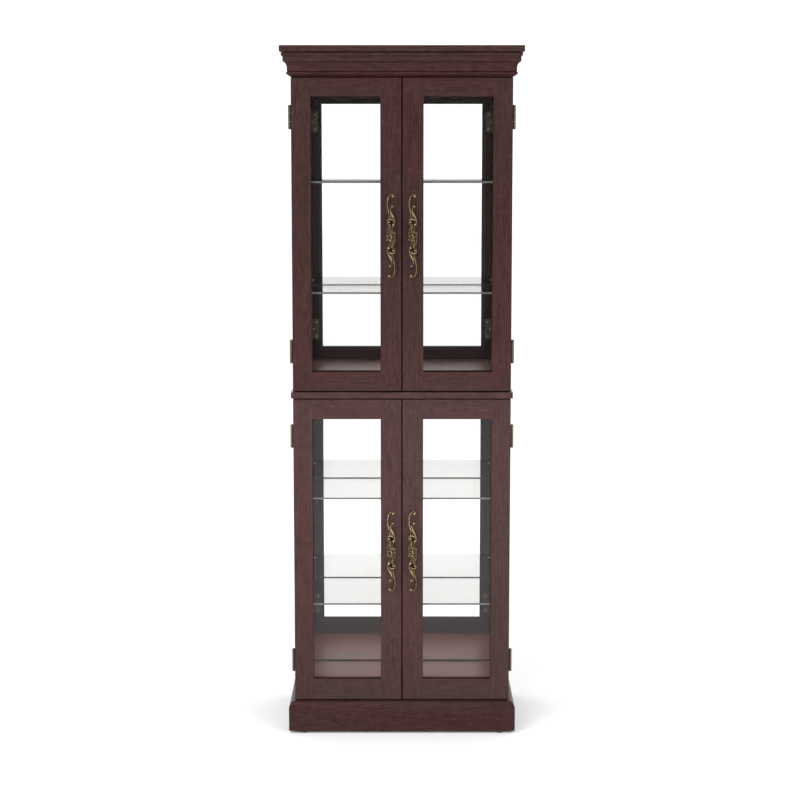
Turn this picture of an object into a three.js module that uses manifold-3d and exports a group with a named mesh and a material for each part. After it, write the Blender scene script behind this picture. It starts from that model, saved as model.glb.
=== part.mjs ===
// Two-section curio cabinet: four framed glass doors, glass sides, a mirrored back and four glass shelves.
// Millimetres. +X is to the viewer's right, -Y is the front, +Z is up, and the floor is z = 0.

import * as THREE from 'three';
import { mergeVertices } from 'three/addons/utils/BufferGeometryUtils.js';
import Module from 'manifold-3d';

const wasm = await Module();
wasm.setup();

// ---------------------------------------------------------------- driving dimensions

const HEIGHT = 1800;
const HALF_WIDTH = 283.5;
const DOOR_FRONT = -143.5;
const CASE_FRONT_OFFSET = 21.5;
const CASE_DEPTH = 293.5;

const DOOR = { thick: 18, centreGap: 2, meetingBevel: 2.5, outerStile: 50, openingFromCentre: 55.5 };
const SECTIONS = {
  lower: {
    sideBottom: 6.5, sideTop: 896, floorTop: 100, ceiling: 896,
    backBottom: 6.5, backTop: 896, sideOpening: [145, 851],
    door: { bottom: 88, top: 893, bottomRail: 56.5, topRail: 52 },
    hinges: [190.5, 793.5], handle: 491, shelves: [341, 626],
  },
  upper: {
    sideBottom: 927, sideTop: 1708, floorTop: 927, ceiling: 1708,
    backBottom: 912, backTop: 1784, sideOpening: [972, 1663],
    door: { bottom: 915, top: 1720, bottomRail: 50, topRail: 47.5 },
    hinges: [1016.5, 1621], handle: 1317.5, shelves: [1168.5, 1455],
  },
};
const PANEL_THICK = 15;
const MIDDLE_BOARD = { bottom: 896, thick: 16, overhang: 5 };
const TOP_BOARD = { thick: 16, frontOverhang: 28, sideOverhang: 27.5 };
const CORNICE = {
  bottom: 1723, inset: 30, backing: 2, bead: { rise: 8, radii: [9, 5], sweep: 60 },
  fillet: { out: 9, bottom: 13, top: 20 }, cove: { radii: [10, 17] },
  lip: { bottom: 50, top: 52, out: 23 },
};
const SIDE_FRAME = { thick: 20, post: 45 };
const GLASS = { thick: 4, rebateDeep: 6, rebateWide: 8, clearance: 0.3 };
const MIRROR_THICK = 4;
const BACK_PANEL_THICK = 3;
const SHELF = { thick: 5, sideGap: 1.5, frontGap: 2.5, backGap: 1.7 };
const PLINTH = { thick: 16, bottom: 6.5, top: 85, roundWide: 13, roundHigh: 20, railDepth: 30 };
const GLIDE = {
  radius: 7.5, edge: 2.5, height: 6.5, fromCentre: 259, backFromCentre: 273, backDepth: 285,
};
const HINGE = {
  height: 60, middleKnuckle: 22, gap: 0.3, knuckleRadius: 4, boreRadius: 1.8, pinRadius: 1.5,
  leafThick: 1.4, doorLeaf: 39.5, caseLeaf: 21, axisOut: 4.5, axisBehindDoor: 1.75,
  plateGap: 0.4, tongueGap: 0.8, tongueOverlap: 1, seatGap: 0.1,
};
const HANDLE = {
  fromCentre: 28, rodRadius: 4.5, stand: 19, tipStand: 8, postRadius: 4, postX: 7, postZ: 46,
};
const CATCH = { width: 50, depth: 16, height: 13, behindDoor: 2 };
const CUT_REACH = 5;

const CASE_FRONT = DOOR_FRONT + CASE_FRONT_OFFSET;
const CASE_BACK = CASE_FRONT + CASE_DEPTH;
const BACK_PANEL_FRONT = CASE_BACK - BACK_PANEL_THICK;
const MIRROR_FRONT = BACK_PANEL_FRONT - GLASS.clearance - MIRROR_THICK;
const SIDE_INNER = HALF_WIDTH - SIDE_FRAME.thick;
const DOOR_BACK = DOOR_FRONT + DOOR.thick;

// ---------------------------------------------------------------- materials

const standard = (color, roughness, metalness, extra = {}) =>
  new THREE.MeshStandardMaterial({ color, roughness, metalness, ...extra });
const wood = standard(0x4f3531, 0.4, 0);
const glass = standard(0xdfe6e3, 0.05, 0, { transparent: true, opacity: 0.3 });
const mirror = standard(0xe8eaea, 0.03, 1);
const brass = standard(0x8a7350, 0.4, 0.9);
const hardboard = standard(0x6b5140, 0.8, 0);
const plastic = standard(0x2a2422, 0.5, 0);

// ---------------------------------------------------------------- geometry helpers

const group = new THREE.Group();

function addMesh(name, geometry, material, x = 0, y = 0, z = 0) {
  const mesh = new THREE.Mesh(geometry, material);
  mesh.name = name;
  mesh.position.set(x, y, z);
  group.add(mesh);
  return mesh;
}

function boxBetween([x0, x1], [y0, y1], [z0, z1]) {
  const geometry = new THREE.BoxGeometry(x1 - x0, y1 - y0, z1 - z0);
  geometry.translate((x0 + x1) / 2, (y0 + y1) / 2, (z0 + z1) / 2);
  return geometry;
}

function cylinderZ(radius, z0, z1, x, y, segments = 16) {
  const geometry = new THREE.CylinderGeometry(radius, radius, z1 - z0, segments);
  geometry.rotateX(Math.PI / 2);
  geometry.translate(x, y, (z0 + z1) / 2);
  return geometry;
}

function cylinderY(radius, y0, y1, x, z, segments = 12) {
  const geometry = new THREE.CylinderGeometry(radius, radius, y1 - y0, segments);
  geometry.translate(x, (y0 + y1) / 2, z);
  return geometry;
}

function toSolid(geometry) {
  const bare = geometry.clone();
  bare.deleteAttribute('normal');
  bare.deleteAttribute('uv');
  const merged = mergeVertices(bare, 1e-4);
  return new wasm.Manifold(new wasm.Mesh({
    numProp: 3,
    vertProperties: new Float32Array(merged.attributes.position.array),
    triVerts: new Uint32Array(merged.index.array),
  }));
}

function fromSolid(solid) {
  const mesh = solid.getMesh();
  const geometry = new THREE.BufferGeometry();
  geometry.setAttribute('position', new THREE.BufferAttribute(mesh.vertProperties, 3));
  geometry.setIndex(new THREE.BufferAttribute(mesh.triVerts, 1));
  geometry.computeVertexNormals();
  return geometry;
}

function carve(base, added, removed) {
  let solid = toSolid(base);
  for (const piece of added) {
    solid = solid.add(toSolid(piece));
  }
  for (const piece of removed) {
    solid = solid.subtract(toSolid(piece));
  }
  return fromSolid(solid);
}

// A profile of [projection, z] points swept through stations that map a projection to [x, y].
function mitredSweep(profile, stations) {
  const positions = [];
  for (const station of stations) {
    for (const [projection, z] of profile) {
      positions.push(...station(projection), z);
    }
  }
  const index = [];
  const count = profile.length;
  for (let s = 0; s + 1 < stations.length; s += 1) {
    for (let i = 0; i < count; i += 1) {
      const here = s * count + i;
      const next = s * count + ((i + 1) % count);
      index.push(here, next, next + count, here, next + count, here + count);
    }
  }
  const outline = profile.map(([projection, z]) => new THREE.Vector2(projection, z));
  const last = (stations.length - 1) * count;
  for (const [a, b, c] of THREE.ShapeUtils.triangulateShape(outline, [])) {
    index.push(c, b, a, last + a, last + b, last + c);
  }
  const geometry = new THREE.BufferGeometry();
  geometry.setAttribute('position', new THREE.Float32BufferAttribute(positions, 3));
  geometry.setIndex(index);
  if (toSolid(geometry).volume() < 0) {
    geometry.setIndex(index.reverse());
  }
  geometry.computeVertexNormals();
  return geometry;
}

const backStation = (side, y) => (projection) => [side * (HALF_WIDTH + projection), y];
const cornerStation = (side, setback = 0) => (projection) =>
  [side * (HALF_WIDTH + projection), DOOR_FRONT - projection + setback];

function arcPoints(centre, radii, fromDegrees, toDegrees, steps) {
  const points = [];
  for (let i = 0; i <= steps; i += 1) {
    const angle = THREE.MathUtils.degToRad(fromDegrees + ((toDegrees - fromDegrees) * i) / steps);
    points.push([centre[0] + radii[0] * Math.cos(angle), centre[1] + radii[1] * Math.sin(angle)]);
  }
  return points;
}

// ---------------------------------------------------------------- plinth and feet

function addPlinth() {
  const { thick, bottom, top, roundWide, roundHigh, railDepth } = PLINTH;
  const profile = [
    [0, bottom], [thick, bottom],
    ...arcPoints([thick - roundWide, top - roundHigh], [roundWide, roundHigh], 0, 90, 6),
    [0, top],
  ];
  const mitreGap = GLASS.clearance;
  addMesh('plinth_front', mitredSweep(profile, [cornerStation(-1), cornerStation(1)]), wood);
  for (const [name, side] of [['plinth_left', -1], ['plinth_right', 1]]) {
    const run = [cornerStation(side, mitreGap), backStation(side, CASE_BACK)];
    addMesh(name, mitredSweep(profile, run), wood);
  }
  const rail = new THREE.Shape();
  const inner = SIDE_INNER - GLASS.clearance;
  const outer = HALF_WIDTH;
  const shoulder = CASE_FRONT_OFFSET - GLASS.clearance;
  rail.moveTo(-outer, 0);
  rail.lineTo(outer, 0);
  rail.lineTo(outer, shoulder);
  rail.lineTo(inner, shoulder);
  rail.lineTo(inner, railDepth);
  rail.lineTo(-inner, railDepth);
  rail.lineTo(-inner, shoulder);
  rail.lineTo(-outer, shoulder);
  rail.closePath();
  const railGeometry = new THREE.ExtrudeGeometry(rail, { depth: top - bottom, bevelEnabled: false });
  addMesh('front_rail', railGeometry, wood, 0, DOOR_FRONT, bottom);
}

function addGlides() {
  const { radius, edge, height, fromCentre, backFromCentre, backDepth } = GLIDE;
  const profile = [[0, 0], [radius - edge, 0], [radius, edge], [radius, height], [0, height]];
  const points = profile.map(([r, z]) => new THREE.Vector2(r, z));
  const frontY = DOOR_FRONT - PLINTH.thick / 2;
  for (const [name, x, y] of [
    ['foot_glide_front_left', -fromCentre, frontY],
    ['foot_glide_front_right', fromCentre, frontY],
    ['foot_glide_back_left', -backFromCentre, DOOR_FRONT + backDepth],
    ['foot_glide_back_right', backFromCentre, DOOR_FRONT + backDepth],
  ]) {
    const geometry = new THREE.LatheGeometry(points, 16);
    geometry.rotateX(Math.PI / 2);
    addMesh(name, geometry, plastic, x, y, 0);
  }
}

// ---------------------------------------------------------------- case panels

function addPanels() {
  const full = [-HALF_WIDTH, HALF_WIDTH];
  const between = [-SIDE_INNER + GLASS.clearance, SIDE_INNER - GLASS.clearance];
  const { lower, upper } = SECTIONS;
  const lowerFloor = [lower.floorTop - PANEL_THICK, lower.floorTop];
  const inside = [CASE_FRONT, BACK_PANEL_FRONT];
  addMesh('lower_floor_panel', boxBetween(between, inside, lowerFloor), wood);
  const wide = HALF_WIDTH + MIDDLE_BOARD.overhang;
  const middle = [MIDDLE_BOARD.bottom, MIDDLE_BOARD.bottom + MIDDLE_BOARD.thick];
  const middleDepth = [DOOR_FRONT - MIDDLE_BOARD.overhang, CASE_BACK];
  addMesh('middle_board', boxBetween([-wide, wide], middleDepth, middle), wood);
  const upperFloor = [upper.floorTop - PANEL_THICK, upper.floorTop];
  addMesh('upper_floor_panel', boxBetween(full, inside, upperFloor), wood);
  addMesh('upper_top_panel', boxBetween(full, inside, [upper.ceiling, CORNICE.bottom]), wood);
}

function addBack(section, { floorTop, ceiling, backBottom, backTop }) {
  const wide = SIDE_INNER - GLASS.clearance;
  const mirrorDepth = [MIRROR_FRONT, MIRROR_FRONT + MIRROR_THICK];
  const mirrorHeight = [floorTop + GLASS.clearance, ceiling - GLASS.clearance];
  addMesh(`${section}_mirror`, boxBetween([-wide, wide], mirrorDepth, mirrorHeight), mirror);
  const panelDepth = [BACK_PANEL_FRONT, CASE_BACK];
  const panel = boxBetween([-HALF_WIDTH, HALF_WIDTH], panelDepth, [backBottom, backTop]);
  addMesh(`${section}_back_panel`, panel, hardboard);
}

function addSide(section, name, side, { sideBottom, sideTop, sideOpening }) {
  const order = (a, b) => (side < 0 ? [-b, -a] : [a, b]);
  const { post } = SIDE_FRAME;
  const { thick, rebateDeep, rebateWide, clearance } = GLASS;
  const openY = [CASE_FRONT + post, BACK_PANEL_FRONT - post];
  const rebateY = [openY[0] - rebateWide, openY[1] + rebateWide];
  const rebateZ = [sideOpening[0] - rebateWide, sideOpening[1] + rebateWide];
  const depth = [CASE_FRONT, BACK_PANEL_FRONT];
  const body = boxBetween(order(SIDE_INNER, HALF_WIDTH), depth, [sideBottom, sideTop]);
  const opening = boxBetween(order(SIDE_INNER - CUT_REACH, HALF_WIDTH + CUT_REACH), openY, sideOpening);
  const rebate = boxBetween(order(SIDE_INNER - CUT_REACH, SIDE_INNER + rebateDeep), rebateY, rebateZ);
  addMesh(`${section}_${name}_side_frame`, carve(body, [], [opening, rebate]), wood);
  const paneX = SIDE_INNER + rebateDeep - clearance;
  const inset = ([a, b]) => [a + clearance, b - clearance];
  const pane = boxBetween(order(paneX - thick, paneX), inset(rebateY), inset(rebateZ));
  addMesh(`${section}_${name}_side_glass`, pane, glass);
}

function addShelves(section, heights) {
  const wide = SIDE_INNER - SHELF.sideGap;
  const depth = [CASE_FRONT + SHELF.frontGap, MIRROR_FRONT - SHELF.backGap];
  heights.forEach((height, i) => {
    const level = [height - SHELF.thick / 2, height + SHELF.thick / 2];
    const place = i === 0 ? 'low' : 'high';
    addMesh(`${section}_${place}_glass_shelf`, boxBetween([-wide, wide], depth, level), glass);
  });
}

function addCatch(section, { ceiling }) {
  const depth = [DOOR_BACK + CATCH.behindDoor, DOOR_BACK + CATCH.behindDoor + CATCH.depth];
  const width = [-CATCH.width / 2, CATCH.width / 2];
  const level = [ceiling - CATCH.height, ceiling];
  addMesh(`${section}_magnetic_catch`, boxBetween(width, depth, level), plastic);
}

// ---------------------------------------------------------------- cornice

function addCornice() {
  const topBoardBottom = HEIGHT - TOP_BOARD.thick;
  const { bottom: base, inset, backing, bead, fillet, cove, lip } = CORNICE;
  const inner = -inset;
  const coveOut = fillet.out + cove.radii[0];
  const profile = [
    [inner, base], [backing, base],
    ...arcPoints([backing, base + bead.rise], bead.radii, -bead.sweep, bead.sweep, 5),
    [fillet.out, base + fillet.bottom], [fillet.out, base + fillet.top],
    ...arcPoints([coveOut, base + fillet.top], cove.radii, 180, 90, 6).slice(1),
    [coveOut, base + lip.bottom], [lip.out, base + lip.top],
    [lip.out, topBoardBottom], [inner, topBoardBottom],
  ];
  const stations = [
    backStation(-1, BACK_PANEL_FRONT), cornerStation(-1),
    cornerStation(1), backStation(1, BACK_PANEL_FRONT),
  ];
  addMesh('cornice_moulding', mitredSweep(profile, stations), wood);
  const wide = HALF_WIDTH + TOP_BOARD.sideOverhang;
  const depth = [DOOR_FRONT - TOP_BOARD.frontOverhang, CASE_BACK];
  addMesh('cornice_top_board', boxBetween([-wide, wide], depth, [topBoardBottom, HEIGHT]), wood);
}

// ---------------------------------------------------------------- doors

// The meeting edges are cut at the same slant, so no light shows between the closed doors.
function addDoorFrame(label, side, { bottom, top, bottomRail, topRail }) {
  const order = (a, b) => (side < 0 ? [-b, -a] : [a, b]);
  const { thick, rebateDeep, rebateWide, clearance } = GLASS;
  const openX = [DOOR.openingFromCentre, HALF_WIDTH - DOOR.outerStile];
  const openZ = [bottom + bottomRail, top - topRail];
  const frontEdge = (side * DOOR.centreGap) / 2;
  const plan = new THREE.Shape([
    new THREE.Vector2(side * HALF_WIDTH, DOOR_FRONT),
    new THREE.Vector2(frontEdge, DOOR_FRONT),
    new THREE.Vector2(frontEdge + DOOR.meetingBevel, DOOR_BACK),
    new THREE.Vector2(side * HALF_WIDTH, DOOR_BACK),
  ]);
  const body = new THREE.ExtrudeGeometry(plan, { depth: top - bottom, bevelEnabled: false });
  body.translate(0, 0, bottom);
  const opening = boxBetween(order(...openX), [DOOR_FRONT - CUT_REACH, DOOR_BACK + CUT_REACH], openZ);
  const rebateX = order(openX[0] - rebateWide, openX[1] + rebateWide);
  const rebateZ = [openZ[0] - rebateWide, openZ[1] + rebateWide];
  const rebate = boxBetween(rebateX, [DOOR_BACK - rebateDeep, DOOR_BACK + CUT_REACH], rebateZ);
  addMesh(`${label}_door_frame`, carve(body, [], [opening, rebate]), wood);
  const paneFront = DOOR_BACK - rebateDeep + clearance;
  const inset = ([a, b]) => [a + clearance, b - clearance];
  const pane = boxBetween(inset(rebateX), [paneFront, paneFront + thick], inset(rebateZ));
  addMesh(`${label}_door_glass`, pane, glass);
}

// Upper half of the scroll's centre line as [x, z]; the lower half is the same turned half a turn.
const SCROLL_HALF = [
  [8, 99], [11, 104], [5, 105], [-3, 98], [-7, 87], [-6, 75], [-2, 64], [4, 53], [7, 46], [7, 33], [3, 16],
];

function addHandle(label, side, height) {
  const { rodRadius, stand, tipStand, postRadius, postX, postZ, fromCentre } = HANDLE;
  const tipZ = SCROLL_HALF[0][1];
  const standAt = (z) => {
    const t = THREE.MathUtils.clamp((Math.abs(z) - postZ) / (tipZ - postZ), 0, 1);
    return THREE.MathUtils.lerp(stand, tipStand, t * t);
  };
  const upperHalf = SCROLL_HALF.map(([x, z]) => new THREE.Vector3(x, -standAt(z), z));
  const lowerHalf = upperHalf.map((p) => new THREE.Vector3(-p.x, p.y, -p.z)).reverse();
  const path = new THREE.CatmullRomCurve3([...upperHalf, ...lowerHalf]);
  const section = new THREE.Shape();
  section.absarc(0, 0, rodRadius, 0, 2 * Math.PI);
  const rod = new THREE.ExtrudeGeometry(section, {
    steps: 36, curveSegments: 4, extrudePath: path, bevelEnabled: false,
  });
  const posts = [1, -1].map((sign) =>
    cylinderY(postRadius, -stand, -GLASS.clearance, sign * postX, sign * postZ, 10));
  addMesh(`${label}_handle`, carve(rod, posts, []), brass, side * fromCentre, DOOR_FRONT, height);
}

// The hinge stands outside the case's side: two knuckles and the pin on the case leaf, one on the door leaf.
function addHinge(label, side, height) {
  const { knuckleRadius, boreRadius, pinRadius, leafThick, middleKnuckle, gap } = HINGE;
  const { plateGap, tongueGap, tongueOverlap, seatGap } = HINGE;
  const order = (a, b) => (side < 0 ? [-b, -a] : [a, b]);
  const axisX = side * (HALF_WIDTH + HINGE.axisOut);
  const axisY = DOOR_BACK + HINGE.axisBehindDoor;
  const half = HINGE.height / 2;
  const middle = middleKnuckle / 2;
  const bare = HALF_WIDTH + HINGE.axisOut - knuckleRadius - plateGap;
  const joined = HALF_WIDTH + HINGE.axisOut - boreRadius - tongueGap;
  const doorLeafY = [DOOR_BACK + seatGap, DOOR_BACK + seatGap + leafThick];
  const caseLeafY = [CASE_FRONT - seatGap - leafThick, CASE_FRONT - seatGap];
  const z = height;

  const doorKnuckle = cylinderZ(knuckleRadius, z - middle, z + middle, axisX, axisY);
  const doorPlate = boxBetween(order(HALF_WIDTH - HINGE.doorLeaf, bare), doorLeafY, [z - half, z + half]);
  const doorTongue = boxBetween(order(bare - tongueOverlap, joined), doorLeafY, [z - middle, z + middle]);
  const bore = cylinderZ(boreRadius, z - half, z + half, axisX, axisY);
  const doorLeaf = carve(doorPlate, [doorTongue, doorKnuckle], [bore]);
  addMesh(`${label}_door_leaf`, doorLeaf, brass);

  const casePlate = boxBetween(order(HALF_WIDTH - HINGE.caseLeaf, bare), caseLeafY, [z - half, z + half]);
  const pin = cylinderZ(pinRadius, z - half, z + half, axisX, axisY);
  const knuckles = [[z - half, z - middle - gap], [z + middle + gap, z + half]].flatMap(([low, high]) => [
    cylinderZ(knuckleRadius, low, high, axisX, axisY),
    boxBetween(order(bare - tongueOverlap, joined), caseLeafY, [low, high]),
  ]);
  addMesh(`${label}_case_leaf`, carve(casePlate, [...knuckles, pin], []), brass);
}

// ---------------------------------------------------------------- assembly

addPlinth();
addGlides();
addPanels();
for (const [section, sizes] of Object.entries(SECTIONS)) {
  addBack(section, sizes);
  addShelves(section, sizes.shelves);
  addCatch(section, sizes);
  for (const [name, side] of [['left', -1], ['right', 1]]) {
    const label = `${section}_${name}`;
    addSide(section, name, side, sizes);
    addDoorFrame(label, side, sizes.door);
    addHandle(label, side, sizes.handle);
    sizes.hinges.forEach((height, i) => {
      addHinge(`${label}_${i === 0 ? 'bottom' : 'top'}_hinge`, side, height);
    });
  }
}
addCornice();

export default group;
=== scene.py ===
"""Looks of the two-section curio cabinet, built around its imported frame.

Metres, +Z up, and the front faces -Y.
"""

import math

import bmesh
import bpy
from mathutils import Matrix, Vector


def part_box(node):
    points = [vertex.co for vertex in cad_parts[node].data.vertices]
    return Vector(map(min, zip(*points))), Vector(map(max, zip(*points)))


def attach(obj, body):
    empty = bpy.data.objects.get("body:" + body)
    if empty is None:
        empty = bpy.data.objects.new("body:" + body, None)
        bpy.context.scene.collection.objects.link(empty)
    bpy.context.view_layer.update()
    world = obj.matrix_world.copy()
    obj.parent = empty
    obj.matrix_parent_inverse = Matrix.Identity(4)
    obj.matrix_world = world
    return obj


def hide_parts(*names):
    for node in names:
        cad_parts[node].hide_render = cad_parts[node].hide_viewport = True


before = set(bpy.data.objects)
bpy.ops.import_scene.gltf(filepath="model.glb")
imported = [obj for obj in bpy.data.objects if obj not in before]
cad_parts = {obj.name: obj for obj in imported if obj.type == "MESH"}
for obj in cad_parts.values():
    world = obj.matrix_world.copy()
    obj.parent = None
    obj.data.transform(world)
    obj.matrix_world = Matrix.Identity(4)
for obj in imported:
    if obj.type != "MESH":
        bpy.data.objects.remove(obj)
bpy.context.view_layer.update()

MM = 0.001
CASE = "case"
SECTIONS = ("lower", "upper")
SHELF_LEVELS = ("low", "high")
SIDES = (("left", -1), ("right", 1))
AXES = {"x": 0, "y": 1, "z": 2}

# ---------------------------------------------------------------- places, read from the frame

door_low, door_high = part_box("upper_right_door_frame")
DOOR_FRONT, DOOR_BACK = door_low.y, door_high.y
HALF_WIDTH = door_high.x
CENTRE_EDGE = door_low.x
# where two doors meet: half the gap that shows, and how far an edge slants through the door
MEETING_EDGE = CENTRE_EDGE + 0.5 * MM
MEETING_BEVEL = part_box("upper_left_door_frame")[1].x + CENTRE_EDGE + 1 * MM
side_low, side_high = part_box("upper_right_side_frame")
SIDE_INNER = side_low.x
CASE_FRONT, CASE_BACK = side_low.y, side_high.y
GLASS_CLEARANCE = 0.3 * MM
GLASS_REBATE = 8 * MM
REBATE_DEPTH = 6 * MM


# ---------------------------------------------------------------- node material helpers

def srgb(red, green, blue):
    """A colour in 0-255 display values as a linear RGBA."""
    values = (red / 255, green / 255, blue / 255)
    linear = (v / 12.92 if v <= 0.04045 else ((v + 0.055) / 1.055) ** 2.4 for v in values)
    return (*linear, 1.0)


class Graph:
    """A small wrapper that adds and links shader nodes."""

    def __init__(self, name):
        self.material = bpy.data.materials.new(name)
        self.material.use_nodes = True
        self.tree = self.material.node_tree
        self.tree.nodes.clear()
        self.output = self.tree.nodes.new("ShaderNodeOutputMaterial")

    def add(self, kind, settings=None, **inputs):
        node = self.tree.nodes.new(kind)
        for key, value in (settings or {}).items():
            setattr(node, key, value)
        for key, value in inputs.items():
            self.plug(node, key.replace("_", " "), value)
        return node

    def plug(self, node, socket, value):
        """Links another node's output to a socket, or sets the socket to a constant."""
        target = node.inputs[int(socket)] if socket.isdigit() else node.inputs[socket]
        if isinstance(value, bpy.types.NodeSocket):
            self.tree.links.new(value, target)
        else:
            target.default_value = value

    def math(self, operation, first, second=0.0):
        node = self.tree.nodes.new("ShaderNodeMath")
        node.operation = operation
        self.plug(node, "0", first)
        self.plug(node, "1", second)
        return node.outputs[0]

    def ramp(self, factor, stops):
        node = self.tree.nodes.new("ShaderNodeValToRGB")
        elements = node.color_ramp.elements
        for i, (position, colour) in enumerate(stops):
            element = elements[i] if i < 2 else elements.new(position)
            element.position = position
            element.color = colour
        self.plug(node, "Fac", factor)
        return node.outputs["Color"]

    def mix(self, factor, first, second, blend="MIX"):
        node = self.tree.nodes.new("ShaderNodeMix")
        node.data_type = "RGBA"
        node.blend_type = blend
        self.plug(node, "0", factor)
        self.plug(node, "6", first)
        self.plug(node, "7", second)
        return node.outputs[2]

    def coordinates(self, scale=(1, 1, 1), location=(0, 0, 0)):
        source = self.add("ShaderNodeTexCoord").outputs["Object"]
        mapping = self.add("ShaderNodeMapping", Vector=source)
        mapping.inputs["Scale"].default_value = scale
        mapping.inputs["Location"].default_value = location
        return mapping.outputs["Vector"]

    def noise(self, vector, scale, detail=3.0, roughness=0.5, distortion=0.0):
        node = self.add("ShaderNodeTexNoise", Vector=vector)
        node.inputs["Scale"].default_value = scale
        node.inputs["Detail"].default_value = detail
        node.inputs["Roughness"].default_value = roughness
        node.inputs["Distortion"].default_value = distortion
        return node.outputs["Fac"]

    def bump(self, height, strength, distance):
        node = self.add("ShaderNodeBump", Height=height)
        node.inputs["Strength"].default_value = strength
        node.inputs["Distance"].default_value = distance
        return node.outputs["Normal"]

    def spread(self, value, low, high):
        """A value from 0 to 1, mapped to a range."""
        node = self.add("ShaderNodeMapRange", Value=value)
        node.inputs["To Min"].default_value = low
        node.inputs["To Max"].default_value = high
        return node.outputs[0]

    def principled(self, **inputs):
        return self.add("ShaderNodeBsdfPrincipled", **inputs)

    def blend(self, factor, first, second):
        """Two shaders mixed by a factor."""
        node = self.add("ShaderNodeMixShader")
        self.plug(node, "0", factor)
        self.plug(node, "1", first.outputs[0])
        self.plug(node, "2", second.outputs[0])
        return node

    def finish(self, shader):
        self.tree.links.new(shader.outputs[0], self.output.inputs["Surface"])
        return self.material


def grey(value):
    return (value, value, value, 1)


RELIEF = "relief"
FOIL_TONES = ((0.0376, 0.0169, 0.0163), (0.0442, 0.0197, 0.0190), (0.0536, 0.0249, 0.0241))
PORE_TONE = (0.014, 0.007, 0.006, 1)
# how much the foil's figure and its finer fibres are drawn out along a board
FIGURE_STRETCH = 0.09
FIBRE_STRETCH = 0.025
GROWTH_RINGS = 13.0
FACE_ON_SHINE = 0.04


def wood_foil(name, axis, gloss=0.10, lift=(1.0, 1.0, 0.97), relief=0.25):
    """Dark cherry wood-grain foil with its grain along one axis; lift brightens or darkens it."""
    g = Graph(name)
    stretch = [1.0, 1.0, 1.0]
    stretch[AXES[axis]] = FIGURE_STRETCH
    fine = [1.0, 1.0, 1.0]
    fine[AXES[axis]] = FIBRE_STRETCH
    figure = g.noise(g.coordinates(stretch), scale=22, distortion=0.8)
    rings = g.math("FRACT", g.math("MULTIPLY", figure, GROWTH_RINGS))
    ring_line = g.ramp(rings, [(0.0, (0.62, 0.55, 0.55, 1)), (0.22, (0.93, 0.92, 0.92, 1)),
                               (0.8, grey(1.06)), (1.0, (0.80, 0.76, 0.76, 1))])
    patches = g.noise(g.coordinates(stretch, (3, 1, 7)), scale=11, distortion=0.3)
    mottle = g.noise(g.coordinates(location=(1, 8, 3)), scale=70, roughness=0.6, distortion=0.3)
    fibres = g.noise(g.coordinates(fine, (0, 5, 2)), scale=420, detail=4, roughness=0.6)
    pores = g.noise(g.coordinates(fine, (4, 2, 1)), scale=900, detail=2)
    stops = [(*(channel * gain for channel, gain in zip(tone, lift)), 1) for tone in FOIL_TONES]
    base = g.ramp(mottle, [(0.3, stops[0]), (0.5, stops[1]), (0.7, stops[2])])
    redder = g.ramp(patches, [(0.40, (0.97, 1.02, 1.0, 1)), (0.66, (1.10, 0.80, 0.86, 1))])
    toned = g.mix(1.0, base, redder, "MULTIPLY")
    ringed = g.mix(0.8, toned, ring_line, "MULTIPLY")
    streaks = g.ramp(fibres, [(0.30, (0.62, 0.60, 0.60, 1)), (0.60, grey(1.08))])
    streaked = g.mix(0.8, ringed, streaks, "MULTIPLY")
    pore_mask = g.ramp(pores, [(0.60, grey(0)), (0.68, grey(0.8))])
    colour = g.mix(pore_mask, streaked, PORE_TONE)
    rough = g.spread(fibres, 0.26, 0.40)
    height = g.math("SUBTRACT", g.math("MULTIPLY", fibres, 0.4), g.math("MULTIPLY", pore_mask, 0.6))
    shader = g.principled(Base_Color=colour, Roughness=rough, Normal=g.bump(height, relief, 0.00025))
    shader.inputs["Specular IOR Level"].default_value = gloss
    return g.finish(shader)


def hardboard(name):
    g = Graph(name)
    speckle = g.noise(g.coordinates(), scale=900, detail=4, roughness=0.6)
    broad = g.noise(g.coordinates(location=(2, 2, 2)), scale=14)
    base = g.ramp(speckle, [(0.3, srgb(104, 78, 60)), (0.7, srgb(140, 110, 86))])
    tone = g.ramp(broad, [(0.3, grey(0.85)), (0.7, grey(1))])
    colour = g.mix(1.0, base, tone, "MULTIPLY")
    shader = g.principled(Base_Color=colour, Normal=g.bump(speckle, 0.3, 0.0002))
    shader.inputs["Roughness"].default_value = 0.75
    return g.finish(shader)


def antique_brass(name, dark, middle, light, cast=False):
    """Brass that is bright where it stands proud and brown-black in its recesses.

    A casting carries its own relief, which paints a highlight on what stands forward and shade, with dark
    patina, in what sits back; other pieces show wear on their edges.
    """
    g = Graph(name)
    wear = g.noise(g.coordinates(), scale=260, detail=4, roughness=0.6)
    if cast:
        # on a casting the relief paints highlights where it stands forward and shade, with dark patina,
        # where it sits back
        proud = g.add("ShaderNodeAttribute", {"attribute_name": RELIEF}).outputs["Fac"]
        stops = [(0.34, dark), (0.66, middle), (0.98, light)]
        wear_depth = 0.5
    else:
        proud = g.add("ShaderNodeNewGeometry").outputs["Pointiness"]
        stops = [(0.48, dark), (0.515, middle), (0.56, light)]
        wear_depth = 0.08
    wear_offset = g.math("MULTIPLY", g.math("SUBTRACT", wear, 0.5), wear_depth)
    colour = g.ramp(g.math("ADD", proud, wear_offset), stops)
    shader = g.principled(Base_Color=colour, Roughness=g.spread(wear, 0.30, 0.52),
                          Normal=g.bump(wear, 0.15, 0.0002))
    shader.inputs["Metallic"].default_value = 0.85
    return g.finish(shader)


def steel(name):
    g = Graph(name)
    brushed = g.noise(g.coordinates((1, 1, 0.05)), scale=1500, detail=2)
    colour = g.ramp(brushed, [(0.3, srgb(160, 160, 158)), (0.7, srgb(205, 205, 202))])
    shader = g.principled(Base_Color=colour, Roughness=g.spread(brushed, 0.25, 0.42))
    shader.inputs["Metallic"].default_value = 1.0
    return g.finish(shader)


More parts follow.
